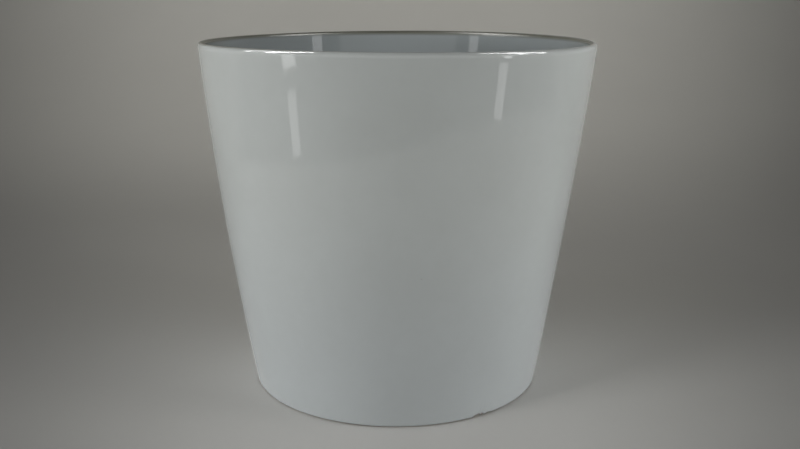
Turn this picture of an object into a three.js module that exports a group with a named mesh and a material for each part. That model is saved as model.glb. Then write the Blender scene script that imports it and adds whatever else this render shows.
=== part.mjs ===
// Conical glazed vase: one fired clay body that carries three coats of glaze.
// Every piece is turned about +Z. Millimetres, +Z up, origin at the middle of the foot, on the table.

import * as THREE from 'three';

// Outside sizes, taken over the glaze
const HEIGHT = 177.8;
const RIM_DIAMETER = 200; // over the widest part of the rounded rim
const FOOT_DIAMETER = 152.8; // at the top of the rounded foot edge

// Rim: the wall leans out less as it rises, then rounds over into a lip that is thinner than the wall
const RIM_LEAN = 5.9; // degrees out of the upright, where the wall starts to round over
const RIM_ROUNDING = 3; // height over which the outside rounds over
const LIP_THICKNESS = 3.4; // across the lip, over the glaze

// Clay body
const WALL_THICKNESS = 5; // clay only, where the wall meets the floor
const FLOOR_THICKNESS = 7;
const INSIDE_CORNER_RADIUS = 9; // over the glaze

// Foot: a flat ring, bare of glaze like the lowest part of its rounded edge, round a shallow recess
const FOOT_EDGE = 2; // height and depth of the rounded edge
const GLAZE_STOP = 0.6; // height on the edge where the outside glaze ends, clear of the table
const FOOT_RING_WIDTH = 6;
const FOOT_RECESS = 3;
const RECESS_COVE_RADIUS = 1.5;
const RING_EDGE_SOFTENING = 0.6;

const GLAZE_THICKNESS = 0.45;

// Fineness of the solids
const TURN_STEPS = 72;
const WALL_STEPS = 6;
const RIM_STEPS = 9;
const LIP_STEPS = 4;
const CORNER_STEPS = 4;
const COVE_STEPS = 3;
const BARE_EDGE_STEPS = 2;
const GLAZED_EDGE_STEPS = 3;
const SOFTENING_STEPS = 2;

const QUARTER_TURN = Math.PI / 2;

// Profiles run in the half-plane (radius, height), with the clay on the left of the direction of travel.
const at = (radius, height) => new THREE.Vector2(radius, height);
const line = (from, to) => new THREE.LineCurve(from, to);
const bend = (from, cornerPoint, to) => new THREE.QuadraticBezierCurve(from, cornerPoint, to);
const arc = (centre, radius, fromAngle, toAngle) => new THREE.EllipseCurve(
  centre.x, centre.y, radius, radius, fromAngle, toAngle, toAngle < fromAngle,
);

// Points and outward normals along a chain of [curve, steps], with shared ends kept once.
function stationsAlong(chain) {
  const stations = [];
  for (const [curve, steps] of chain) {
    for (let step = stations.length ? 1 : 0; step <= steps; step += 1) {
      const tangent = curve.getTangent(step / steps);
      stations.push({ point: curve.getPoint(step / steps), normal: at(tangent.y, -tangent.x) });
    }
  }
  return stations;
}

// Lip: its crest in the clay, and the middle of the round on its inside.
const lipRadius = LIP_THICKNESS / 2;
const clayLipRadius = lipRadius - GLAZE_THICKNESS;
const lipCentre = at(RIM_DIAMETER / 2 - lipRadius, HEIGHT - lipRadius);
const crest = at(lipCentre.x, lipCentre.y + clayLipRadius);

// Rim: bent towards the corner where the line of the wall reaches the height of the crest. The corner
// overhangs the crest by as much as makes the bend widest at the rim's diameter.
const rimLean = THREE.MathUtils.degToRad(RIM_LEAN);
const wallTop = HEIGHT - RIM_ROUNDING;
const flare = (crest.y - wallTop) * Math.tan(rimLean);
const overhang = (clayLipRadius + Math.sqrt(clayLipRadius * (clayLipRadius + 4 * flare))) / 2;
const rimCorner = at(crest.x + overhang, crest.y);
const wallEnd = at(rimCorner.x - flare, wallTop);
const rim = bend(wallEnd, rimCorner, crest);

// Outside wall: a shallow bow from the foot edge, tangent to the rim.
const wallStart = at(FOOT_DIAMETER / 2 - GLAZE_THICKNESS, FOOT_EDGE);
const wallChord = wallEnd.clone().sub(wallStart);
const wallLean = Math.atan2(wallChord.x, wallChord.y);
const wallOutward = at(wallChord.y, -wallChord.x).normalize();
const bowReach = wallChord.length() / 2 * Math.tan(wallLean - rimLean);
const bowCorner = wallStart.clone().lerp(wallEnd, 0.5).addScaledVector(wallOutward, bowReach);
const wall = bend(wallStart, bowCorner, wallEnd);

// Inside wall: straight, tangent to the lip, down to where its line meets the floor.
const floorHeight = FOOT_RECESS + FLOOR_THICKNESS;
const floorShare = (floorHeight - wallStart.y) / wallChord.y;
const wallWidth = WALL_THICKNESS / Math.cos(wallLean);
const insideFoot = at(wallStart.x + wallChord.x * floorShare - wallWidth, floorHeight);
const toLip = lipCentre.clone().sub(insideFoot);
const insideAngle = toLip.angle() + Math.asin(clayLipRadius / toLip.length());
const insideDirection = at(Math.cos(insideAngle), Math.sin(insideAngle));
const lipInside = arc(lipCentre, clayLipRadius, QUARTER_TURN, insideAngle + QUARTER_TURN);

// Inside corner: a round between the inside wall and the floor.
const clayCornerRadius = INSIDE_CORNER_RADIUS + GLAZE_THICKNESS;
const cornerReach = clayCornerRadius * Math.tan(insideAngle / 2);
const cornerTop = insideFoot.clone().addScaledVector(insideDirection, cornerReach);
const cornerEnd = at(insideFoot.x - cornerReach, floorHeight);
const cornerCentre = at(cornerEnd.x, floorHeight + clayCornerRadius);
const insideCorner = arc(cornerCentre, clayCornerRadius, insideAngle - QUARTER_TURN, -QUARTER_TURN);

// Foot ring: set in from the line of the wall by its rounded edge.
const footLean = wall.getTangent(0);
const footCorner = wallStart.clone().addScaledVector(footLean, -wallStart.y / footLean.y);
const ringOuter = at(footCorner.x - FOOT_EDGE, 0);
const ringInner = at(ringOuter.x - FOOT_RING_WIDTH, 0);
const softening = Math.min(RING_EDGE_SOFTENING, FOOT_RECESS / 4);
const ringSoftTop = at(ringInner.x, softening);
const ringSoftEnd = at(ringInner.x + softening, 0);

// Rounded foot edge, cut in two where the outside glaze stops.
const edgeShare = Math.sqrt(GLAZE_STOP / FOOT_EDGE);
const bareEdgeCorner = ringOuter.clone().lerp(footCorner, edgeShare);
const glazedEdgeCorner = footCorner.clone().lerp(wallStart, edgeShare);
const glazeStop = bareEdgeCorner.clone().lerp(glazedEdgeCorner, edgeShare);
const bareEdge = bend(ringOuter, bareEdgeCorner, glazeStop);
const glazedEdge = bend(glazeStop, glazedEdgeCorner, wallStart);

// Recess under the floor: a flat ceiling that comes down to the ring in a cove.
const coveRadius = Math.min(RECESS_COVE_RADIUS, FOOT_RECESS / 2);
const coveCentre = at(ringInner.x - coveRadius, FOOT_RECESS - coveRadius);
const coveFoot = at(ringInner.x, coveCentre.y);
const recessCove = arc(coveCentre, coveRadius, QUARTER_TURN, 0);

// The clay's surface in four stretches: three that carry glaze, and the bare foot.
const undersideStations = stationsAlong([
  [line(at(0, FOOT_RECESS), at(coveCentre.x, FOOT_RECESS)), 1],
  [recessCove, COVE_STEPS],
]);
const footStations = stationsAlong([
  [line(coveFoot, ringSoftTop), 1],
  [bend(ringSoftTop, ringInner, ringSoftEnd), SOFTENING_STEPS],
  [line(ringSoftEnd, ringOuter), 1],
  [bareEdge, BARE_EDGE_STEPS],
]);
const outsideStations = stationsAlong([
  [glazedEdge, GLAZED_EDGE_STEPS],
  [wall, WALL_STEPS],
  [rim, RIM_STEPS],
  [lipInside, LIP_STEPS],
]);
const insideStations = stationsAlong([
  [line(lipInside.getPoint(1), cornerTop), 1],
  [insideCorner, CORNER_STEPS],
  [line(cornerEnd, at(0, floorHeight)), 1],
]);

// The clay surface at a station, and the face of the glaze that lies on it.
const clayFace = ({ point }) => point;
const glazeFace = ({ point, normal }) => point.clone().addScaledVector(normal, GLAZE_THICKNESS);

// Clay body: wall, floor and foot ring in one fired piece.
function clayOutline() {
  const later = [footStations, outsideStations, insideStations].flatMap((stations) => stations.slice(1));
  return [...undersideStations, ...later].map(clayFace);
}

// A coat of glaze, from its back on the clay round to its face. It runs the same way as the clay's own
// outline, so that the two share every facet.
function coatOutline(stations) {
  const back = stations.map(clayFace);
  const face = stations.map(glazeFace).reverse();
  return [...back, ...face, back[0]];
}

// Turns an outline about +Z.
function turned(outline) {
  return new THREE.LatheGeometry(outline, TURN_STEPS).rotateX(QUARTER_TURN);
}

// A turned coat comes out with its faces inwards, so they are turned round.
function turnedCoat(stations) {
  const geometry = turned(coatOutline(stations));
  geometry.index.array.reverse();
  return geometry;
}

const FINISHES = {
  firedClay: { color: 0xa89e91, roughness: 0.85, metalness: 0 },
  paleGlaze: { color: 0xb1b5b1, roughness: 0.1, metalness: 0 },
};

function namedPiece(name, geometry, finish) {
  const piece = new THREE.Mesh(geometry, new THREE.MeshStandardMaterial(finish));
  piece.name = name;
  return piece;
}

const vase = new THREE.Group();
vase.add(
  namedPiece('clay_body', turned(clayOutline()), FINISHES.firedClay),
  namedPiece('outside_glaze', turnedCoat(outsideStations), FINISHES.paleGlaze),
  namedPiece('inside_glaze', turnedCoat(insideStations), FINISHES.paleGlaze),
  namedPiece('underside_glaze', turnedCoat(undersideStations), FINISHES.paleGlaze),
);

export default vase;
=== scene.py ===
"""Looks of a conical glazed vase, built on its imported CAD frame.

Metres, +Z up, -Y towards the viewer, origin at the middle of the foot, on the table.
Each coat of glaze and the clay under it is turned from one outline, then settled by the fraction of a
millimetre that firing moves a pot. Headings are degrees from the front of the vase, positive to the right.
"""

import logging
import math
from collections.abc import Callable, Sequence
from dataclasses import asdict, dataclass, fields
from enum import Enum
from functools import cached_property
from typing import ClassVar

import bmesh
import bpy
from mathutils import Color, Matrix, Vector


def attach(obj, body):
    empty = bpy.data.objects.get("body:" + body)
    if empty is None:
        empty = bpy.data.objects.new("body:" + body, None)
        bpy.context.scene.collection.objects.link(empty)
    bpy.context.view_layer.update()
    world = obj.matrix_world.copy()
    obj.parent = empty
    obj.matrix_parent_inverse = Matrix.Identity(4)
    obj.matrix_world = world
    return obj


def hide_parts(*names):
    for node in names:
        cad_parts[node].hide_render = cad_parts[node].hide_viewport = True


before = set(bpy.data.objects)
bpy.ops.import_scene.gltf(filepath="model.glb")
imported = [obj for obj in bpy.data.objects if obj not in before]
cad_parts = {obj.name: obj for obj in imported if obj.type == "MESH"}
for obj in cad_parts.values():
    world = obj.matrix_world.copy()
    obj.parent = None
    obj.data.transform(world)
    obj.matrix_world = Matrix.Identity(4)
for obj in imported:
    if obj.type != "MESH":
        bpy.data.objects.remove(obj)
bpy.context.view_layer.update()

LOG = logging.getLogger("conical_vase")
BODY = "root"
FULL_TURN = 2 * math.pi
QUARTER_TURN = math.pi / 2
WELD = 1e-6
NODE_SPACING = 220

Colour = tuple[float, float, float, float]
Span = tuple[float, float]
Shape = bmesh.types.BMesh
Node = bpy.types.Node
Socket = bpy.types.NodeSocket


def from_screen(red: int, green: int, blue: int) -> Colour:
    """Scene-linear colour of a screen's red, green and blue, in steps from 0 to 255."""
    shown = Color((red / 255, green / 255, blue / 255))
    return *shown.from_srgb_to_scene_linear(), 1.0


def heading_vector(heading: float, elevation: float = 0.0) -> Vector:
    """Unit vector towards a heading and an elevation.

    Args:
        heading: Degrees from the front of the vase, positive to the right.
        elevation: Degrees above the floor.

    Returns:
        The direction, in the vase's frame.
    """
    turn, lift = math.radians(heading), math.radians(elevation)
    return Vector((math.sin(turn) * math.cos(lift), -math.cos(turn) * math.cos(lift), math.sin(lift)))


# Outlines in the half-plane (radius, height)


@dataclass(frozen=True)
class Drawn:
    """A straight or bowed stretch, drawn by two or three control points."""

    controls: tuple[Vector, ...]

    def _last_pair(self, share: float) -> tuple[Vector, Vector]:
        """The two points that the controls come down to at a share.

        Args:
            share: From 0 at the first control to 1 at the last.

        Returns:
            The ends of the tangent there.
        """
        row = list(self.controls)
        while len(row) > 2:
            row = [before.lerp(after, share) for before, after in zip(row, row[1:])]
        return row[0], row[1]

    def point(self, share: float) -> Vector:
        """Point at a share of the stretch."""
        before, after = self._last_pair(share)
        return before.lerp(after, share)

    def tangent(self, share: float) -> Vector:
        """Unit direction of travel at a share of the stretch."""
        before, after = self._last_pair(share)
        return (after - before).normalized()


@dataclass(frozen=True)
class Round:
    """An arc about a centre, from one angle to another."""

    centre: Vector
    radius: float
    start: float
    end: float

    def _angle(self, share: float) -> float:
        """Angle at a share of the arc."""
        return self.start + (self.end - self.start) * share

    def point(self, share: float) -> Vector:
        """Point at a share of the arc."""
        angle = self._angle(share)
        return self.centre + Vector((math.cos(angle), math.sin(angle))) * self.radius

    def tangent(self, share: float) -> Vector:
        """Unit direction of travel at a share of the arc."""
        angle = self._angle(share)
        return Vector((-math.sin(angle), math.cos(angle))) * math.copysign(1, self.end - self.start)


Stretch = Drawn | Round


@dataclass(frozen=True)
class Station:
    """A point on the clay's surface and the way out of the clay there."""

    point: Vector
    outward: Vector

    def lifted(self, height: float) -> Vector:
        """The point, moved out of the clay."""
        return self.point + self.outward * height


class Fineness(Enum):
    """How closely an outline is walked: its seen face, or its back against another piece."""

    FACE = 1.0
    BACK = 0.25

    def steps(self, count: int) -> int:
        """Steps to take where a seen face takes a count of them."""
        return max(1, round(count * self.value))


def stations_along(chain: Sequence[tuple[Stretch, int]], fineness: Fineness) -> list[Station]:
    """Walks a chain of stretches, with shared ends kept once.

    Args:
        chain: Stretches in order, each with its steps on a seen face.
        fineness: How closely to walk them.

    Returns:
        The stations in order, with the clay on the left of the direction of travel.
    """
    stations: list[Station] = []
    for stretch, count in chain:
        steps = fineness.steps(count)
        for step in range(1 if stations else 0, steps + 1):
            way = stretch.tangent(step / steps)
            stations.append(Station(stretch.point(step / steps), Vector((way.y, -way.x))))
    return stations


@dataclass(frozen=True)
class OutlineSteps:
    """Steps that a seen face takes along each stretch of the outline."""

    ceiling: int = 24
    cove: int = 12
    recess_side: int = 4
    softening: int = 8
    ring: int = 6
    bare_edge: int = 8
    glazed_edge: int = 16
    wall: int = 48
    rim: int = 40
    lip: int = 24
    inside_wall: int = 44
    corner: int = 16
    floor: int = 20


@dataclass(frozen=True)
class VaseOutline:
    """Half outline of the vase: the clay's surface, worked out from sizes over the glaze."""

    height: float = 0.1778
    rim_diameter: float = 0.200
    foot_diameter: float = 0.1528
    rim_lean: float = math.radians(5.9)
    rim_rounding: float = 0.003
    lip_thickness: float = 0.0034
    clay_wall: float = 0.005
    clay_floor: float = 0.007
    inside_corner: float = 0.009
    foot_edge: float = 0.002
    glaze_stop: float = 0.0006
    ring_width: float = 0.006
    recess: float = 0.003
    recess_cove: float = 0.0015
    ring_softening: float = 0.0006
    glaze: float = 0.00045
    steps: OutlineSteps = OutlineSteps()

    @cached_property
    def clay_lip_radius(self) -> float:
        """Radius of the round of clay under the lip's glaze."""
        return self.lip_thickness / 2 - self.glaze

    @cached_property
    def lip_centre(self) -> Vector:
        """Middle of the round on the inside of the lip."""
        lip_radius = self.lip_thickness / 2
        return Vector((self.rim_diameter / 2 - lip_radius, self.height - lip_radius))

    @cached_property
    def rim(self) -> Drawn:
        """Rim, bent over from the line of the wall to the lip's crest.

        Returns:
            The bend, which is widest at the rim's diameter over the glaze.
        """
        lip = self.clay_lip_radius
        crest = self.lip_centre + Vector((0, lip))
        wall_top = self.height - self.rim_rounding
        flare = (crest.y - wall_top) * math.tan(self.rim_lean)
        overhang = (lip + math.sqrt(lip * (lip + 4 * flare))) / 2
        corner = crest + Vector((overhang, 0))
        return Drawn((Vector((corner.x - flare, wall_top)), corner, crest))

    @cached_property
    def wall_start(self) -> Vector:
        """Top of the rounded foot edge."""
        return Vector((self.foot_diameter / 2 - self.glaze, self.foot_edge))

    @cached_property
    def wall_chord(self) -> Vector:
        """Straight way from the foot edge to the rim."""
        return self.rim.point(0) - self.wall_start

    @cached_property
    def wall_lean(self) -> float:
        """Lean of the wall's chord out of the upright."""
        return math.atan2(self.wall_chord.x, self.wall_chord.y)

    @cached_property
    def wall(self) -> Drawn:
        """Outside wall.

        Returns:
            A shallow bow from the foot edge, tangent to the rim.
        """
        chord = self.wall_chord
        outward = Vector((chord.y, -chord.x)).normalized()
        reach = chord.length / 2 * math.tan(self.wall_lean - self.rim_lean)
        corner = self.wall_start + chord / 2 + outward * reach
        return Drawn((self.wall_start, corner, self.rim.point(0)))

    @cached_property
    def floor_height(self) -> float:
        """Height of the clay floor inside the vase."""
        return self.recess + self.clay_floor

    @cached_property
    def inside_foot(self) -> Vector:
        """Foot of the inside wall, before its corner is rounded.

        Returns:
            Where the lines of the inside wall and the floor cross.
        """
        share = (self.floor_height - self.wall_start.y) / self.wall_chord.y
        width = self.clay_wall / math.cos(self.wall_lean)
        return Vector((self.wall_start.x + self.wall_chord.x * share - width, self.floor_height))

    @cached_property
    def inside_angle(self) -> float:
        """Slope of the inside wall, which is tangent to the lip."""
        to_lip = self.lip_centre - self.inside_foot
        return math.atan2(to_lip.y, to_lip.x) + math.asin(self.clay_lip_radius / to_lip.length)

    @cached_property
    def lip(self) -> Round:
        """Round of the lip, from its crest over to the inside wall."""
        end = self.inside_angle + QUARTER_TURN
        return Round(self.lip_centre, self.clay_lip_radius, QUARTER_TURN, end)

    @cached_property
    def corner(self) -> Round:
        """Inside corner of the clay.

        Returns:
            The round between the inside wall and the floor.
        """
        radius = self.inside_corner + self.glaze
        reach = radius * math.tan(self.inside_angle / 2)
        centre = Vector((self.inside_foot.x - reach, self.floor_height + radius))
        return Round(centre, radius, self.inside_angle - QUARTER_TURN, -QUARTER_TURN)

    @cached_property
    def foot_corner(self) -> Vector:
        """Where the line of the wall meets the table."""
        lean = self.wall.tangent(0)
        return self.wall_start - lean * (self.wall_start.y / lean.y)

    @cached_property
    def ring_outer(self) -> Vector:
        """Outer edge of the flat foot ring."""
        return Vector((self.foot_corner.x - self.foot_edge, 0))

    @cached_property
    def ring_inner(self) -> Vector:
        """Inner edge of the foot ring, before it is softened."""
        return Vector((self.ring_outer.x - self.ring_width, 0))

    def _foot_rounding(self) -> tuple[Drawn, Drawn]:
        """Cuts the rounded foot edge in two where the outside glaze stops.

        Returns:
            The bare stretch up from the ring, and the glazed stretch up to the wall.
        """
        share = math.sqrt(self.glaze_stop / self.foot_edge)
        low_corner = self.ring_outer.lerp(self.foot_corner, share)
        high_corner = self.foot_corner.lerp(self.wall_start, share)
        stop = low_corner.lerp(high_corner, share)
        return Drawn((self.ring_outer, low_corner, stop)), Drawn((stop, high_corner, self.wall_start))

    @cached_property
    def cove(self) -> Round:
        """Cove between the recess and the foot ring."""
        centre = Vector((self.ring_inner.x - self.recess_cove, self.recess - self.recess_cove))
        return Round(centre, self.recess_cove, QUARTER_TURN, 0)

    def underside(self, fineness: Fineness) -> list[Station]:
        """Glazed ceiling of the recess, from the middle out to the foot ring."""
        ceiling = Drawn((Vector((0, self.recess)), self.cove.point(0)))
        return stations_along([(ceiling, self.steps.ceiling), (self.cove, self.steps.cove)], fineness)

    def foot(self, fineness: Fineness) -> list[Station]:
        """Bare foot ring, from the recess out to where the outside glaze stops.

        Args:
            fineness: How closely to walk it.

        Returns:
            Its stations, outwards.
        """
        steps = self.steps
        soft_top = self.ring_inner + Vector((0, self.ring_softening))
        soft_end = self.ring_inner + Vector((self.ring_softening, 0))
        bare_edge, _ = self._foot_rounding()
        chain = [
            (Drawn((self.cove.point(1), soft_top)), steps.recess_side),
            (Drawn((soft_top, self.ring_inner, soft_end)), steps.softening),
            (Drawn((soft_end, self.ring_outer)), steps.ring),
            (bare_edge, steps.bare_edge),
        ]
        return stations_along(chain, fineness)

    def outside(self, fineness: Fineness) -> list[Station]:
        """Glazed outside, from the foot edge up the wall and over the lip.

        Args:
            fineness: How closely to walk it.

        Returns:
            Its stations, upwards.
        """
        steps = self.steps
        _, glazed_edge = self._foot_rounding()
        chain = [
            (glazed_edge, steps.glazed_edge),
            (self.wall, steps.wall),
            (self.rim, steps.rim),
            (self.lip, steps.lip),
        ]
        return stations_along(chain, fineness)

    def inside(self, fineness: Fineness) -> list[Station]:
        """Glazed inside, from the lip down the wall to the middle of the floor.

        Args:
            fineness: How closely to walk it.

        Returns:
            Its stations, downwards.
        """
        steps = self.steps
        wall = Drawn((self.lip.point(1), self.corner.point(0)))
        floor = Drawn((self.corner.point(1), Vector((0, self.floor_height))))
        chain = [(wall, steps.inside_wall), (self.corner, steps.corner), (floor, steps.floor)]
        return stations_along(chain, fineness)


OUTLINE = VaseOutline()


# Turning and settling


@dataclass(frozen=True)
class Chip:
    """A flake broken off the foot edge, through the glaze and a little into the clay."""

    heading: float
    half_width: float
    height: float
    depth: float

    def share(self, place: Vector) -> float:
        """How far a place lies inside the chip's width.

        Args:
            place: A point on the vase.

        Returns:
            1 at the middle of the chip, and 0 at its sides and beyond.
        """
        way = heading_vector(self.heading)
        across = Vector((-way.y, way.x, 0)).dot(place)
        if way.dot(place) < 0 or abs(across) >= self.half_width:
            return 0.0
        return math.sqrt(1 - (across / self.half_width) ** 2)


@dataclass(frozen=True)
class Settling:
    """Small ways in which the fired pot departs from a true turning."""

    height: float
    rim_warp: float = 0.00035
    warp_heading: float = 158.5
    warp_power: int = 4
    lean: float = 0.00085
    bow: float = -0.00055
    chips: tuple[Chip, ...] = (
        Chip(heading=30.8, half_width=0.0010, height=0.0009, depth=0.0010),
        Chip(heading=32.3, half_width=0.0011, height=0.0014, depth=0.0015),
        Chip(heading=34.0, half_width=0.0009, height=0.0012, depth=0.0013),
        Chip(heading=36.9, half_width=0.0014, height=0.0006, depth=0.0008),
    )
    chip_fade: float = 0.0032

    def settle(self, shape: Shape) -> None:
        """Leans, bows and warps a turned shape, with its foot left flat.

        Args:
            shape: The shape, changed in place.
        """
        way = heading_vector(self.warp_heading)
        warp_turn = math.atan2(way.y, way.x)
        for vert in shape.verts:
            rise = vert.co.z / self.height
            turn = math.atan2(vert.co.y, vert.co.x) - warp_turn
            vert.co.x += self.lean * rise + self.bow * math.sin(math.pi * rise)
            vert.co.z += self.rim_warp * rise ** self.warp_power * math.cos(2 * turn)

    def _fade(self, place: Vector) -> float:
        """How much of a chip is left at a place: all of it on the table, and less higher up."""
        return max(0.0, 1 - place.z / self.chip_fade)

    def lift_chips(self, shape: Shape) -> None:
        """Draws the lower edge of a coat up, where it has chipped.

        Args:
            shape: The coat, changed in place.
        """
        for vert in shape.verts:
            fade = self._fade(vert.co)
            if fade > 0:
                vert.co.z += fade * max(chip.height * chip.share(vert.co) for chip in self.chips)

    def sink_chips(self, shape: Shape, reach: float) -> None:
        """Breaks the chips into the clay's foot edge.

        Args:
            shape: The clay, changed in place.
            reach: Radius outside which the foot edge lies.
        """
        for vert in shape.verts:
            radius = math.hypot(vert.co.x, vert.co.y)
            fade = self._fade(vert.co)
            if fade > 0 and radius > reach:
                depth = fade * max(chip.depth * chip.share(vert.co) for chip in self.chips)
                vert.co.x -= depth * vert.co.x / radius
                vert.co.y -= depth * vert.co.y / radius


@dataclass(frozen=True)
class Wheel:
    """Turns an outline about +Z, with finer steps where the foot edge is chipped."""

    fine_start: float = 29.0
    fine_end: float = 40.0
    fine_steps: int = 56
    coarse_steps: int = 280

    def turn(self, outline: Sequence[Vector], closed: bool) -> Shape:
        """Spins an outline into a shape.

        Args:
            outline: Points in the half-plane (radius, height).
            closed: Whether its last point joins its first, as round a coat.

        Returns:
            The welded shape, with its faces outwards.
        """
        shape = bmesh.new()
        way = heading_vector(self.fine_start)
        verts = [shape.verts.new((way.x * point.x, way.y * point.x, point.y)) for point in outline]
        followers = verts[1:] + verts[:1] if closed else verts[1:]
        edges = [shape.edges.new(pair) for pair in zip(verts, followers)]
        fine = math.radians(self.fine_end - self.fine_start)
        geometry = [*verts, *edges]
        for angle, steps in ((fine, self.fine_steps), (FULL_TURN - fine, self.coarse_steps)):
            spun = bmesh.ops.spin(
                shape, geom=geometry, cent=(0, 0, 0), axis=(0, 0, 1), angle=angle, steps=steps
            )
            geometry = spun["geom_last"]
        bmesh.ops.remove_doubles(shape, verts=shape.verts, dist=WELD)
        bmesh.ops.dissolve_degenerate(shape, edges=shape.edges, dist=WELD)
        bmesh.ops.recalc_face_normals(shape, faces=shape.faces)
        return shape


# Finishes


class Sum(Enum):
    """Sums that a Math node works out."""

    ADD = "ADD"
    SUBTRACT = "SUBTRACT"
    MULTIPLY = "MULTIPLY"
    DIVIDE = "DIVIDE"
    POWER = "POWER"
    ABSOLUTE = "ABSOLUTE"
    LESS_THAN = "LESS_THAN"


class Mixing(Enum):
    """What a Mix node mixes: its data type, the places of its share and two inputs, and of its result."""

    VALUES = ("FLOAT", (0, 2, 3), 0)
    COLOURS = ("RGBA", (0, 6, 7), 2)


class NodeBench:
    """Adds nodes to one tree and wires them together."""

    def __init__(self, tree: bpy.types.NodeTree) -> None:
        """Takes the tree to work on."""
        self.tree = tree
        self.count = 0

    def add(self, kind: str, **settings: object) -> Node:
        """Adds a node.

        Args:
            kind: Node type, without the ShaderNode in front. The two ends of a group are given in full.
            settings: Properties of the node to set.

        Returns:
            The node.
        """
        node = self.tree.nodes.new(kind if kind.startswith("Node") else "ShaderNode" + kind)
        node.location = (NODE_SPACING * self.count, 0)
        self.count += 1
        for name, value in settings.items():
            setattr(node, name, value)
        return node

    def wire(self, source: Socket, target: Socket) -> None:
        """Links an output to an input."""
        self.tree.links.new(source, target)

    def give(self, value: object, target: Socket) -> None:
        """Links an input to a socket, or sets it to a written value.

        Args:
            value: The socket or the value.
            target: The input.
        """
        if isinstance(value, Socket):
            self.wire(value, target)
        else:
            target.default_value = value

    def feed(self, node: Node, **values: object) -> Node:
        """Sets or links inputs of a node by their names, with _ for a space.

        Args:
            node: The node to feed.
            values: A socket to link, or a value to set, for each input.

        Returns:
            The node.
        """
        for name, value in values.items():
            self.give(value, node.inputs[name.replace("_", " ")])
        return node

    def blend(self, share: object, low: object, high: object, mixing: Mixing = Mixing.COLOURS) -> Socket:
        """Mixes two colours or two values, each written or wired.

        Args:
            share: How much of the second shows.
            low: The first.
            high: The second.
            mixing: Which of the two they are.

        Returns:
            The mix.
        """
        data_type, places, result = mixing.value
        node = self.add("Mix", data_type=data_type)
        for place, value in zip(places, (share, low, high)):
            self.give(value, node.inputs[place])
        return node.outputs[result]

    def ramp(self, value: Socket, start: float, end: float, low: float = 0.0, high: float = 1.0) -> Socket:
        """Maps a value smoothly from one range to another.

        Args:
            value: The value to map.
            start: Value that maps to low.
            end: Value that maps to high.
            low: First result.
            high: Last result.

        Returns:
            The mapped value.
        """
        node = self.add("MapRange", interpolation_type="SMOOTHSTEP")
        self.feed(node, Value=value, From_Min=start, From_Max=end, To_Min=low, To_Max=high)
        return node.outputs["Result"]

    def sum(self, first: object, second: object, operation: Sum = Sum.ADD) -> Socket:
        """Works out a sum of two values, each written or wired.

        Args:
            first: The first value.
            second: The second value, which plays no part in an absolute value.
            operation: Which sum.

        Returns:
            Its result.
        """
        node = self.add("Math", operation=operation.value)
        for place, value in enumerate((first, second)):
            self.give(value, node.inputs[place])
        return node.outputs[0]

    def times(self, first: object, second: object) -> Socket:
        """Multiplies two values, each written or wired."""
        return self.sum(first, second, Sum.MULTIPLY)

    def axes(self, place: Socket) -> Node:
        """Takes coordinates apart into X, Y and Z."""
        return self.feed(self.add("SeparateXYZ"), Vector=place)

    def bump(self, height: Socket, distance: float, strength: float = 1.0) -> Socket:
        """Turns heights, in shares of a distance, into normals."""
        node = self.feed(self.add("Bump"), Height=height, Distance=distance, Strength=strength)
        return node.outputs["Normal"]


@dataclass(frozen=True)
class SharedEffect:
    """A node group that more than one finish uses. Its fields are the values of the group's inputs."""

    output: ClassVar[str] = "mask"

    def tree(self) -> bpy.types.NodeTree:
        """The group's tree, made at its first use.

        Returns:
            The tree, with its sockets and nodes.
        """
        name = type(self).__name__.lower()
        made = bpy.data.node_groups.get(name)
        if made:
            return made
        made = bpy.data.node_groups.new(name, "ShaderNodeTree")
        made.interface.new_socket("place", in_out="INPUT", socket_type="NodeSocketVector")
        for value in fields(self):
            label = value.name.replace("_", " ")
            made.interface.new_socket(label, in_out="INPUT", socket_type="NodeSocketFloat")
        made.interface.new_socket(self.output, in_out="OUTPUT", socket_type="NodeSocketFloat")
        bench = NodeBench(made)
        given = bench.add("NodeGroupInput").outputs[: 1 + len(fields(self))]
        result = self.draw(bench, given)
        bench.wire(result, bench.add("NodeGroupOutput").inputs[self.output])
        return made

    def draw(self, bench: NodeBench, given: Sequence[Socket]) -> Socket:
        """Draws the group's nodes and gives the socket that they end in."""
        raise NotImplementedError

    def place(self, bench: NodeBench, where: Socket) -> Socket:
        """Places the group in a material, with the effect's own values.

        Args:
            bench: The material's bench.
            where: The coordinates to read.

        Returns:
            The group's output.
        """
        node = bench.add("Group", node_tree=self.tree())
        bench.feed(node, place=where, **asdict(self))
        return node.outputs[self.output]


@dataclass(frozen=True)
class Cloudiness(SharedEffect):
    """Soft clouds with flecks in them, as fired glazes and clays have, both counted per metre."""

    clouds: float
    flecks: float
    fleck_share: float = 0.3
    cloud_detail: ClassVar[float] = 3.0
    fleck_detail: ClassVar[float] = 4.0
    contrast: ClassVar[Span] = (0.3, 0.7)

    def draw(self, bench: NodeBench, given: Sequence[Socket]) -> Socket:
        """Adds fine noise to broad noise.

        Args:
            bench: The group's bench.
            given: The group's inputs.

        Returns:
            A mask about a half.
        """
        place, clouds, flecks, fleck_share = given
        broad = bench.feed(bench.add("TexNoise"), Vector=place, Scale=clouds, Detail=self.cloud_detail)
        fine = bench.feed(bench.add("TexNoise"), Vector=place, Scale=flecks, Detail=self.fleck_detail)
        mixed = bench.blend(fleck_share, broad.outputs["Fac"], fine.outputs["Fac"], Mixing.VALUES)
        return bench.ramp(mixed, *self.contrast)


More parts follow.
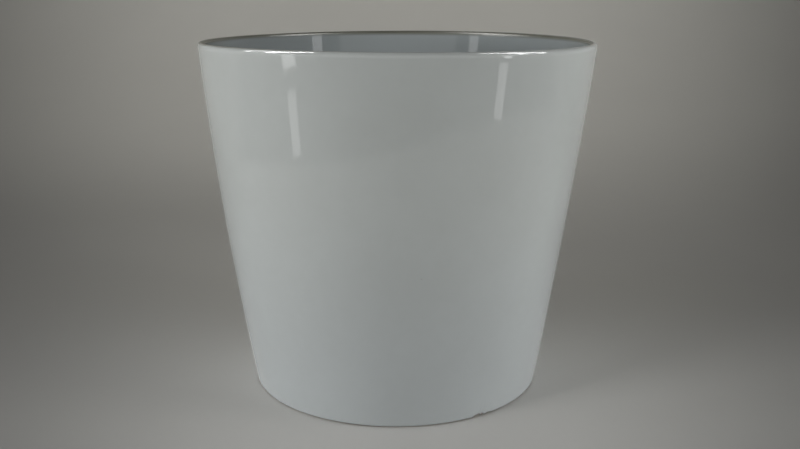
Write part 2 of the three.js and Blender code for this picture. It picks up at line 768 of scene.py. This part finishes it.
@dataclass(frozen=True)
class Specks(SharedEffect):
    """Scattered round specks of mixed sizes: pinholes in a glaze, grog in a clay.

    The size is the reach of the largest in its cell, and the share is how many of the cells hold one.
    """

    per_metre: float
    size: float
    share: float

    def draw(self, bench: NodeBench, given: Sequence[Socket]) -> Socket:
        """Marks the middles of some cells.

        Args:
            bench: The group's bench.
            given: The group's inputs.

        Returns:
            A mask, 1 in a speck.
        """
        place, per_metre, size, share = given
        cells = bench.feed(bench.add("TexVoronoi"), Vector=place, Scale=per_metre)
        pick = bench.feed(bench.add("SeparateColor"), Color=cells.outputs["Color"])
        chosen = bench.sum(pick.outputs["Red"], share, Sum.LESS_THAN)
        reach = bench.times(size, pick.outputs["Green"])
        near = bench.sum(cells.outputs["Distance"], reach, Sum.LESS_THAN)
        return bench.times(chosen, near)


@dataclass(frozen=True)
class Waviness(SharedEffect):
    """Heights of a surface: long waves and a fine skin, both counted per metre."""

    waves: float
    skin: float
    skin_share: float
    output: ClassVar[str] = "height"
    wave_detail: ClassVar[float] = 0.0
    skin_detail: ClassVar[float] = 1.0

    def draw(self, bench: NodeBench, given: Sequence[Socket]) -> Socket:
        """Adds a fine skin to long waves.

        Args:
            bench: The group's bench.
            given: The group's inputs.

        Returns:
            A height, from 0 to 1 and the skin's share.
        """
        place, waves, skin, skin_share = given
        long = bench.feed(bench.add("TexNoise"), Vector=place, Scale=waves, Detail=self.wave_detail)
        fine = bench.feed(bench.add("TexNoise"), Vector=place, Scale=skin, Detail=self.skin_detail)
        return bench.sum(long.outputs["Fac"], bench.times(fine.outputs["Fac"], skin_share))


@dataclass(frozen=True)
class Finish:
    """A surface finish: a material made once under its own name."""

    name: str

    def material(self) -> bpy.types.Material:
        """The material, made at its first use.

        Returns:
            The finished material.
        """
        made = bpy.data.materials.get(self.name)
        if made:
            return made
        made = bpy.data.materials.new(self.name)
        made.use_nodes = True
        made.node_tree.nodes.clear()
        bench = NodeBench(made.node_tree)
        shader = bench.add("BsdfPrincipled")
        self.draw(bench, shader, bench.add("TexCoord").outputs["Object"])
        bench.wire(shader.outputs["BSDF"], bench.add("OutputMaterial").inputs["Surface"])
        return made

    def draw(self, bench: NodeBench, shader: Node, place: Socket) -> None:
        """Draws the material's nodes into its shader."""
        raise NotImplementedError


@dataclass(frozen=True)
class Glaze(Finish):
    """Glossy pale glaze: clouds, pinholes, painted shade on the lip, darker and bluer low on the wall."""

    drained: Colour = from_screen(175, 179, 177)
    # low on the wall the tone turns a touch bluer where the glaze pools, and darker as painted shade
    pooled: Colour = from_screen(170, 175, 176)
    # painted shade on the top and inside of the lip, and on the top of the inside wall
    thin: Colour = from_screen(112, 112, 98)
    speck: Colour = from_screen(110, 104, 96)
    pool_shade_line: float = 0.01
    drain_line: float = 0.14
    lip_line: float = OUTLINE.height - OUTLINE.rim_rounding
    crest: float = OUTLINE.height - 0.0006
    lip_outside: float = OUTLINE.rim_diameter / 2 - 0.0008
    lip_inside: float = OUTLINE.rim_diameter / 2 - 0.0022
    clouds: Cloudiness = Cloudiness(clouds=22.0, flecks=170.0)
    cloud_depth: float = 0.06
    pinholes: Specks = Specks(per_metre=95.0, size=0.035, share=0.12)
    pinhole_depth: float = 0.5
    skin: Waviness = Waviness(waves=35.0, skin=420.0, skin_share=0.05)
    skin_height: float = 0.00002
    roughness: Span = (0.03, 0.06)
    lip_roughness: float = 0.32
    ior: float = 1.52

    def _on_lip(self, bench: NodeBench, axes: Node) -> Socket:
        """Marks the top and the inside of the lip, which get painted shade and a duller gloss.

        Args:
            bench: The material's bench.
            axes: Object coordinates, taken apart.

        Returns:
            A mask, 1 on the inner half of the lip.
        """
        squares = [bench.sum(axes.outputs[axis], 2.0, Sum.POWER) for axis in "XY"]
        radius = bench.sum(bench.sum(*squares), 0.5, Sum.POWER)
        inside = bench.ramp(radius, self.lip_outside, self.lip_inside)
        return bench.times(bench.ramp(axes.outputs["Z"], self.lip_line, self.crest), inside)

    def draw(self, bench: NodeBench, shader: Node, place: Socket) -> None:
        """Draws tone, gloss and skin.

        Args:
            bench: The material's bench.
            shader: Its Principled shader.
            place: Object coordinates.
        """
        clouds = self.clouds.place(bench, place)
        pinholes = self.pinholes.place(bench, place)
        axes = bench.axes(place)
        lip = self._on_lip(bench, axes)
        # fades the pooled glaze's blue and the painted shade out going up the wall
        pool_shade_fade = bench.ramp(axes.outputs["Z"], self.pool_shade_line, self.drain_line)
        tone = bench.blend(pool_shade_fade, self.pooled, self.drained)
        tone = bench.blend(bench.times(clouds, self.cloud_depth), tone, self.speck)
        # painted shade on the top and inside of the lip
        tone = bench.blend(lip, tone, self.thin)
        tone = bench.blend(bench.times(pinholes, self.pinhole_depth), tone, self.speck)
        gloss = bench.ramp(clouds, 0.0, 1.0, *self.roughness)
        gloss = bench.sum(gloss, bench.times(lip, self.lip_roughness))
        skin = bench.bump(self.skin.place(bench, place), self.skin_height)
        bench.feed(shader, Base_Color=tone, Roughness=gloss, Normal=skin, IOR=self.ior)


@dataclass(frozen=True)
class BareClay(Finish):
    """Matt fired clay: buff, cloudy, gritty and a little soiled."""

    body: Colour = from_screen(168, 158, 145)
    cloud: Colour = from_screen(146, 136, 124)
    grit: Colour = from_screen(96, 88, 78)
    clouds: Cloudiness = Cloudiness(clouds=70.0, flecks=520.0, fleck_share=0.55)
    grit_specks: Specks = Specks(per_metre=520.0, size=0.3, share=0.35)
    grit_depth: float = 0.7
    grain: Waviness = Waviness(waves=300.0, skin=2200.0, skin_share=0.8)
    grain_height: float = 0.00012
    grain_strength: float = 0.8
    roughness: Span = (0.78, 0.95)

    def draw(self, bench: NodeBench, shader: Node, place: Socket) -> None:
        """Draws tone and grain.

        Args:
            bench: The material's bench.
            shader: Its Principled shader.
            place: Object coordinates.
        """
        clouds = self.clouds.place(bench, place)
        grit = self.grit_specks.place(bench, place)
        tone = bench.blend(clouds, self.body, self.cloud)
        tone = bench.blend(bench.times(grit, self.grit_depth), tone, self.grit)
        gloss = bench.ramp(clouds, 0.0, 1.0, *self.roughness)
        pitted = bench.sum(self.grain.place(bench, place), grit, Sum.SUBTRACT)
        skin = bench.bump(pitted, self.grain_height, self.grain_strength)
        bench.feed(shader, Base_Color=tone, Roughness=gloss, Normal=skin)


@dataclass(frozen=True)
class Paper(Finish):
    """Pale matt paper of the studio sweep, with painted light and shade graded in depth.

    To the camera it dims to the sides with painted shade, in a fan from a fixed spot in front of the vase.
    In gloss
    it shows a painted reflection: a lit table with a round edge, and the dark room beyond. Depths run along
    +Y, away from the viewer.
    """

    # painted light and shade in depth: paler near the front, painted shade in the middle behind the vase,
    # painted light up the wall
    near: Colour = from_screen(211, 210, 206)
    middle: Colour = from_screen(197, 195, 188)
    far: Colour = from_screen(228, 226, 218)
    near_to_middle: Span = (-0.04, 0.16)
    middle_to_far: Span = (0.26, 0.70)
    fibres: Cloudiness = Cloudiness(clouds=9.0, flecks=240.0)
    fibre_depth: float = 0.02
    roughness: float = 0.92

    # painted shade: the paper darkens to this tone towards the sides, for the camera only
    side: Colour = from_screen(106, 105, 101)
    fan_depth: float = -0.48
    fan_slopes: Span = (0.12, 0.62)
    fan_shift: Span = (-0.03, 0.02)
    shift_depths: Span = (0.0, 0.6)
    near_share: float = 0.75
    share_depths: Span = (-0.1, 0.3)
    fan_start: Span = (-0.35, -0.12)

    # painted reflection, seen in gloss only: the lit table and the dark room beyond its edge; the room's
    # tone also darkens the fibres
    table: Colour = from_screen(236, 235, 231)
    room: Colour = from_screen(40, 39, 38)
    table_middle: tuple[float, float, float] = (0.075, 0.13, 0.0)
    table_radius: float = 0.55
    table_edge: float = 0.01
    table_back: Span = (0.15, 0.0)

    def _dimmed(self, bench: NodeBench, axes: Node) -> Socket:
        """How much painted shade darkens the paper to the sides.

        Args:
            bench: The material's bench.
            axes: Object coordinates, taken apart.

        Returns:
            A mask, 0 along the middle and in front of the vase, and up to 1 at the sides.
        """
        depth = axes.outputs["Y"]
        slope = bench.sum(axes.outputs["X"], bench.sum(depth, self.fan_depth, Sum.SUBTRACT), Sum.DIVIDE)
        shift = bench.ramp(depth, *self.shift_depths, *self.fan_shift)
        aside = bench.sum(bench.sum(slope, shift), 0.0, Sum.ABSOLUTE)
        share = bench.ramp(depth, *self.share_depths, self.near_share, 1.0)
        dimmed = bench.times(bench.ramp(aside, *self.fan_slopes), share)
        return bench.times(dimmed, bench.ramp(depth, *self.fan_start))

    def _mirrored(self, bench: NodeBench, place: Socket) -> Socket:
        """Painted reflection, seen in gloss only: the lit table, and the dark room beyond its round edge.

        Args:
            bench: The material's bench.
            place: Object coordinates.

        Returns:
            The tone.
        """
        away = bench.add("VectorMath", operation="DISTANCE")
        for index, point in enumerate((place, self.table_middle)):
            bench.give(point, away.inputs[index])
        inner, outer = self.table_radius - self.table_edge, self.table_radius + self.table_edge
        return bench.blend(bench.ramp(away.outputs["Value"], inner, outer), self.table, self.room)

    def draw(self, bench: NodeBench, shader: Node, place: Socket) -> None:
        """Draws fibres on painted light and shade in depth, then painted shade to the sides and a painted
        reflection.

        Args:
            bench: The material's bench.
            shader: Its Principled shader.
            place: Object coordinates.
        """
        axes = bench.axes(place)
        depth = axes.outputs["Y"]
        ray = bench.add("LightPath").outputs
        # painted light and shade, graded in depth
        tone = bench.blend(bench.ramp(depth, *self.near_to_middle), self.near, self.middle)
        tone = bench.blend(bench.ramp(depth, *self.middle_to_far), tone, self.far)
        fibres = self.fibres.place(bench, place)
        tone = bench.blend(bench.times(fibres, self.fibre_depth), tone, self.room)
        # painted shade to the sides, seen by the camera only
        to_camera = bench.times(self._dimmed(bench, axes), ray["Is Camera Ray"])
        tone = bench.blend(to_camera, tone, self.side)
        # painted reflection of the table and the dark room, in gloss only
        in_gloss = bench.times(bench.ramp(depth, *self.table_back), ray["Is Glossy Ray"])
        tone = bench.blend(in_gloss, tone, self._mirrored(bench, place))
        bench.feed(shader, Base_Color=tone, Roughness=self.roughness)


# Pieces of the vase


class Slot(Enum):
    """Material slots of the record."""

    GLAZE = "pale_glaze"
    CLAY = "bare_clay"


@dataclass(frozen=True)
class Piece:
    """One piece of the vase, which stands for the CAD node of the same name."""

    node: str
    slot: Slot
    finish: Finish
    smooth_angle: float = math.radians(50)

    def show(self, shape: Shape) -> bpy.types.Object:
        """Makes the piece's object from its shape, dresses it and sets it on the frame.

        Args:
            shape: The finished shape, which is freed.

        Returns:
            The object.
        """
        mesh = bpy.data.meshes.new(self.node + "_surface")
        shape.to_mesh(mesh)
        shape.free()
        mesh.shade_smooth()
        mesh.set_sharp_from_angle(angle=self.smooth_angle)
        piece = bpy.data.objects.new(self.node + "_finished", mesh)
        bpy.context.collection.objects.link(piece)
        mesh.materials.append(self.finish.material())
        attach(piece, BODY)
        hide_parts(self.node)
        return piece


class FreeEnd(Enum):
    """Which end of a coat thins out on the clay, instead of meeting another coat or the axis."""

    NONE = "none"
    FIRST = "first"
    LAST = "last"


@dataclass(frozen=True)
class Vase:
    """The whole vase: clay body and three coats of glaze, from one outline."""

    outline: VaseOutline = OUTLINE
    wheel: Wheel = Wheel()
    settling: Settling = Settling(OUTLINE.height)
    glaze: Glaze = Glaze("pale_gloss_glaze")
    # the inside coat is the outside glaze, given a darker, bluer tone as painted shade in the mouth
    inside_glaze: Glaze = Glaze(
        "pale_gloss_glaze_painted_shade_inside", drained=from_screen(166, 174, 175), pooled=from_screen(166, 174, 175)
    )
    clay: BareClay = BareClay("buff_fired_clay")

    def _coat(self, walk: Callable[[Fineness], list[Station]], free_end: FreeEnd) -> Shape:
        """Turns a coat that thins out in a round at its free end.

        Args:
            walk: Gives the stations of the clay under the coat.
            free_end: Which of its ends is free.

        Returns:
            The turned coat.
        """
        face = walk(Fineness.FACE)
        edge = {FreeEnd.FIRST: face[0].point, FreeEnd.LAST: face[-1].point}.get(free_end)
        full = self.outline.glaze

        def thickness(station: Station) -> float:
            """Thickness of the coat at a station."""
            reach = full if edge is None else min(full, (station.point - edge).length)
            return math.sqrt(full ** 2 - (full - reach) ** 2)

        seen = [station.lifted(thickness(station)) for station in face]
        hidden = [station.point for station in reversed(walk(Fineness.BACK))]
        if free_end is FreeEnd.LAST:
            hidden = hidden[1:]
        return self.wheel.turn(seen + hidden, closed=True)

    def _settled(self, piece: Piece, shape: Shape) -> bpy.types.Object:
        """Settles a turned shape and shows it as a piece."""
        self.settling.settle(shape)
        return piece.show(shape)

    def build_clay(self) -> bpy.types.Object:
        """Clay body: floor, wall, lip and foot ring in one, with the chips broken into its foot edge.

        Returns:
            The piece.
        """
        line = self.outline
        stretches = (
            line.underside(Fineness.BACK),
            line.foot(Fineness.FACE),
            line.outside(Fineness.BACK),
            line.inside(Fineness.BACK),
        )
        points = [stretches[0][0].point]
        for stations in stretches:
            points.extend(station.point for station in stations[1:])
        shape = self.wheel.turn(points, closed=False)
        self.settling.sink_chips(shape, line.ring_outer.x - line.foot_edge)
        return self._settled(Piece("clay_body", Slot.CLAY, self.clay), shape)

    def build_outside(self) -> bpy.types.Object:
        """Outside glaze, chipped at its lower edge.

        Returns:
            The piece.
        """
        shape = self._coat(self.outline.outside, FreeEnd.FIRST)
        self.settling.lift_chips(shape)
        return self._settled(Piece("outside_glaze", Slot.GLAZE, self.glaze), shape)

    def build_inside(self) -> bpy.types.Object:
        """Inside glaze, from the lip to the middle of the floor."""
        shape = self._coat(self.outline.inside, FreeEnd.NONE)
        return self._settled(Piece("inside_glaze", Slot.GLAZE, self.inside_glaze), shape)

    def build_underside(self) -> bpy.types.Object:
        """Underside glaze in the recess inside the foot ring."""
        shape = self._coat(self.outline.underside, FreeEnd.LAST)
        return self._settled(Piece("underside_glaze", Slot.GLAZE, self.glaze), shape)

    def build(self) -> list[bpy.types.Object]:
        """Builds every piece."""
        return [self.build_clay(), self.build_outside(), self.build_inside(), self.build_underside()]


# Studio


@dataclass(frozen=True)
class Sweep:
    """Seamless paper: a floor that curves up into a wall behind the vase."""

    front: float = -2.5
    wall: float = 1.6
    bend: float = 1.25
    top: float = 2.2
    half_width: float = 1.1
    drop: float = 0.0001
    bend_steps: int = 24
    paper: Paper = Paper("pale_sweep_paper")

    def build(self) -> bpy.types.Object:
        """Extrudes the sweep's section sideways.

        Returns:
            The stage object.
        """
        bend = Round(Vector((self.wall - self.bend, self.bend - self.drop)), self.bend, -QUARTER_TURN, 0)
        section = [Vector((self.front, -self.drop))]
        section += [bend.point(step / self.bend_steps) for step in range(self.bend_steps + 1)]
        section.append(Vector((self.wall, self.top)))
        shape = bmesh.new()
        verts = [shape.verts.new((-self.half_width, point.x, point.y)) for point in section]
        edges = [shape.edges.new(pair) for pair in zip(verts, verts[1:])]
        made = bmesh.ops.extrude_edge_only(shape, edges=edges)["geom"]
        moved = [part for part in made if isinstance(part, bmesh.types.BMVert)]
        bmesh.ops.translate(shape, verts=moved, vec=(2 * self.half_width, 0, 0))
        bmesh.ops.recalc_face_normals(shape, faces=shape.faces)
        mesh = bpy.data.meshes.new("paper_sweep")
        shape.to_mesh(mesh)
        shape.free()
        mesh.shade_smooth()
        sweep = bpy.data.objects.new("paper_sweep", mesh)
        bpy.context.collection.objects.link(sweep)
        mesh.materials.append(self.paper.material())
        return sweep


class Reach(Enum):
    """What a lamp does: light surfaces, show in their gloss, or both."""

    LIGHT = "light"
    MIRROR = "mirror"
    BOTH = "both"


@dataclass(frozen=True)
class Softbox:
    """A flat lamp that faces a spot on the axis of the vase, whose height is its aim."""

    name: str
    heading: float
    distance: float
    width: float
    height: float
    radiance: float
    reach: Reach = Reach.MIRROR
    elevation: float = 0.0
    aim: float = 0.125

    def light(self) -> bpy.types.Object:
        """Makes the lamp and turns it to the spot.

        Returns:
            The lamp's object.
        """
        spot = Vector((0, 0, self.aim))
        place = spot + heading_vector(self.heading, self.elevation) * self.distance
        lamp = bpy.data.lights.new(self.name, "AREA")
        lamp.shape = "RECTANGLE"
        lamp.size, lamp.size_y = self.width, self.height
        lamp.energy = self.radiance * math.pi * self.width * self.height
        lit = bpy.data.objects.new(self.name, lamp)
        lit.location = place
        lit.rotation_euler = (spot - place).to_track_quat("-Z", "Y").to_euler()
        lit.visible_camera = False
        lit.visible_glossy = self.reach is not Reach.LIGHT
        lit.visible_diffuse = self.reach is not Reach.MIRROR
        bpy.context.collection.objects.link(lit)
        return lit


@dataclass(frozen=True)
class RoomGlow:
    """Light of the room: a glow along the horizon under a dark ceiling."""

    low: Colour = (0.45, 0.45, 0.45, 1.0)
    high: Colour = (0.02, 0.02, 0.02, 1.0)
    full_to: float = 0.22
    dark_from: float = 0.46

    def light(self) -> None:
        """Gives the scene its world."""
        world = bpy.data.worlds.new("room_glow")
        world.use_nodes = True
        bench = NodeBench(world.node_tree)
        axes = bench.axes(bench.add("TexCoord").outputs["Generated"])
        rise = bench.ramp(axes.outputs["Z"], self.full_to, self.dark_from)
        bench.feed(world.node_tree.nodes["Background"], Color=bench.blend(rise, self.low, self.high))
        bpy.context.scene.world = world


@dataclass(frozen=True)
class Studio:
    """Sweep, lamps and the light of the room."""

    sweep: Sweep = Sweep()
    glow: RoomGlow = RoomGlow()

    def _boxes(self) -> list[Softbox]:
        """Soft boxes that light the vase.

        Returns:
            A low one and a high one on each side.
        """
        low = {"distance": 1.4, "reach": Reach.LIGHT}
        high = {"distance": 1.0, "elevation": 35, "width": 0.3, "height": 0.3, "reach": Reach.LIGHT}
        return [
            Softbox("left_box", heading=-70, width=0.95, height=0.25, radiance=13, **low),
            Softbox("right_box", heading=81.5, elevation=-1.5, width=0.85, height=0.175, radiance=22, **low),
            Softbox("left_high_box", heading=-50, radiance=6.9, **high),
            Softbox("right_high_box", heading=66, radiance=3.7, **high),
        ]

    def _glints(self) -> list[Softbox]:
        """Lamps that show on the lip, and a wide, dim front panel that also lights the wall.

        Returns:
            The lamps, high on both sides and at the front.
        """
        glint = {"distance": 1.0, "elevation": 40, "height": 0.7}
        side_glint = {"distance": 1.0, "elevation": 36, "height": 0.6}
        panel = {"distance": 1.6, "elevation": 13, "height": 0.5, "reach": Reach.BOTH}
        return [
            Softbox("left_glint", heading=-72, width=0.12, radiance=44.0, **glint),
            Softbox("left_side_glint", heading=-90, width=0.07, radiance=20.0, **side_glint),
            Softbox("right_glint", heading=72, width=0.10, radiance=24.0, **glint),
            Softbox("right_side_glint", heading=86, width=0.10, radiance=22.0, **side_glint),
            Softbox("front_panel", heading=0, width=2.6, radiance=0.5, **panel),
        ]

    def _streaks(self) -> list[Softbox]:
        """Lamps that show as streaks down the wall and inside the mouth.

        Returns:
            The lamps, upright at two distances on each side.
        """
        left_far = {"heading": -56.23, "distance": 0.6207}
        left_near = {"heading": -54.09, "distance": 0.4297}
        right_far = {"heading": 58.38, "distance": 0.9347}
        right_near = {"heading": 54.51, "distance": 0.5133}
        return [
            Softbox("left_panel", aim=0.28, width=0.075, height=0.16, radiance=2.0, **left_far),
            Softbox("left_bulb", aim=0.119, width=0.085, height=0.162, radiance=3.0, **left_far),
            Softbox("left_strip", aim=0.032, width=0.038, height=0.064, radiance=1.6, **left_near),
            Softbox("right_panel", aim=0.32, width=0.12, height=0.24, radiance=2.2, **right_far),
            Softbox("right_bulb", aim=0.10, width=0.07, height=0.20, radiance=5.0, **right_far),
            Softbox("right_strip", aim=0.0305, width=0.045, height=0.061, radiance=1.8, **right_near),
        ]

    def build(self) -> None:
        """Builds the sweep, the lamps and the room's light."""
        self.sweep.build()
        for lamp in self._boxes() + self._glints() + self._streaks():
            lamp.light()
        self.glow.light()
        bpy.context.scene.view_settings.view_transform = "Standard"


@dataclass(frozen=True)
class PhotoCamera:
    """The camera, set where the photograph was taken from."""

    place: Vector = Vector((0.00216, -0.48111, 0.2034))
    pitch: float = 0.24966
    roll: float = 0.00152
    focal_pixels: float = 927.8
    image_width: int = 800
    sensor: float = 36.0
    clip_start: float = 0.01

    def build(self) -> bpy.types.Object:
        """Makes the camera and gives it to the scene.

        Returns:
            The camera.
        """
        data = bpy.data.cameras.new("photo_camera")
        data.sensor_fit = "HORIZONTAL"
        data.sensor_width = self.sensor
        data.lens = self.focal_pixels / self.image_width * self.sensor
        data.clip_start = self.clip_start
        camera = bpy.data.objects.new("photo_camera", data)
        turn = Matrix.Rotation(QUARTER_TURN - self.pitch, 4, "X") @ Matrix.Rotation(self.roll, 4, "Z")
        camera.matrix_world = Matrix.Translation(self.place) @ turn
        bpy.context.collection.objects.link(camera)
        bpy.context.scene.camera = camera
        return camera


def main() -> None:
    """Builds the camera, the vase and the studio, and reports each piece."""
    logging.basicConfig(level=logging.INFO, format="%(name)s: %(message)s")
    PhotoCamera().build()
    for piece in Vase().build():
        LOG.info("%s: %d faces", piece.name, len(piece.data.polygons))
    Studio().build()


if __name__ == "__main__":
    main()
